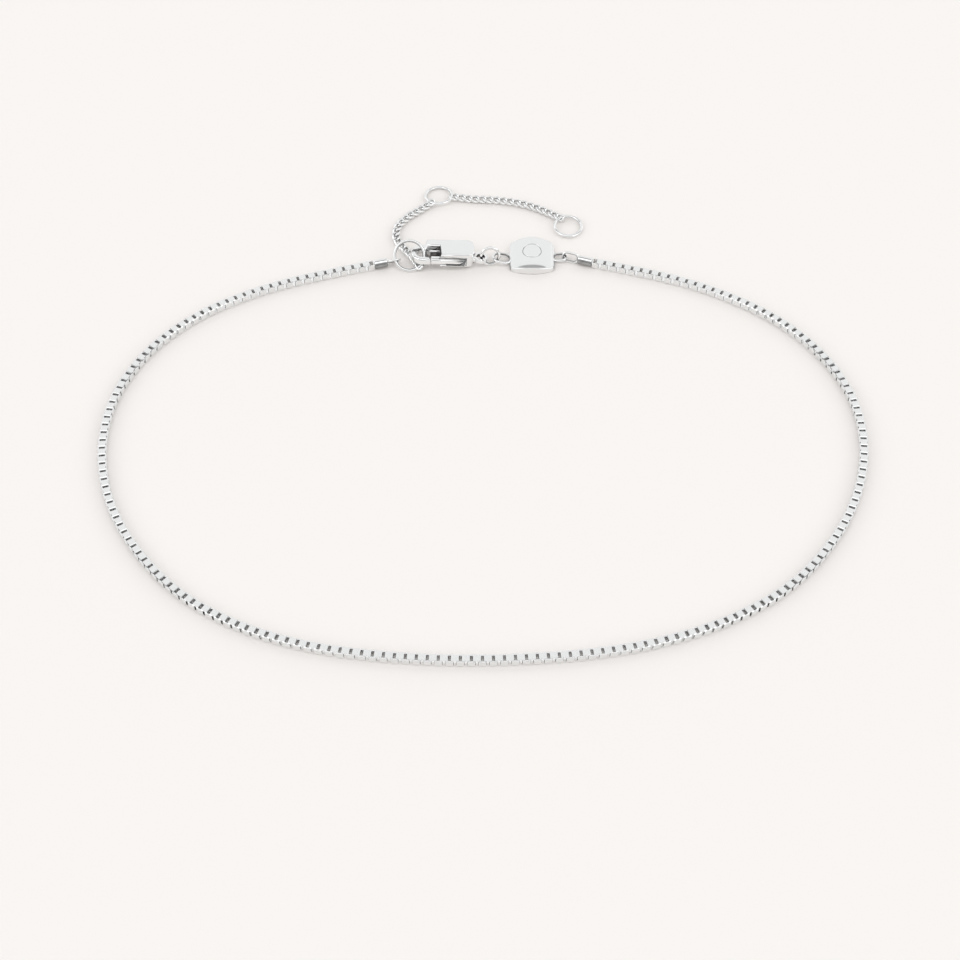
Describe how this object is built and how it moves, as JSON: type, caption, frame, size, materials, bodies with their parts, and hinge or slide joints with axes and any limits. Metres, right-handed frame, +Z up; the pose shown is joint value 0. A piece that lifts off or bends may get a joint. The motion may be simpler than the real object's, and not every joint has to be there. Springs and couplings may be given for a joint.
{
  "type": "chain anklet",
  "caption": "Chain anklet of square box links, laid out as a loop, with end caps, a lobster clasp, a square domed tag and a fine curb-chain extender with adjusting rings",
  "frame": {"origin": "centre of the bounding box on the surface that the anklet lies on", "axes": "+X to the right along the anklet's longest extent, +Y from the front of the loop to the clasp, +Z up from the surface"},
  "size_m": [0.0888, 0.0736, 0.0029],
  "materials": {
    "box_chain_metal": "bright polished silver, the flat faces of the box links lightly worn",
    "polished_metal": "mirror-polished silver",
    "curb_chain_metal": "bright polished silver wire",
    "tag_metal": "softly polished silver with an engraved line",
    "clasp_metal": "polished cast silver"
  },
  "bodies": {
    "anklet": {"box_chain_right": "box_chain_metal", "box_chain_left": "box_chain_metal", "end_cap_right": "polished_metal", "end_cap_left": "polished_metal", "closing_ring": "polished_metal", "jump_ring": "polished_metal", "extender_ring_middle": "polished_metal", "extender_ring_end": "polished_metal", "extender_chain_inner": "curb_chain_metal", "extender_chain_outer": "curb_chain_metal", "tag": "tag_metal", "clasp_body": "clasp_metal"},
    "lever": {"clasp_lever": "clasp_metal"}
  },
  "joints": [
    {"name": "lever_pivot", "type": "hinge", "parent": "anklet", "child": "lever", "pos_m": [-0.00282, 0.02281, 0.00134], "axis": [-0.0913, -0.1119, -0.9895], "range_deg": [0, 16], "stiffness_Nm_per_rad": 0.03}
  ]
}
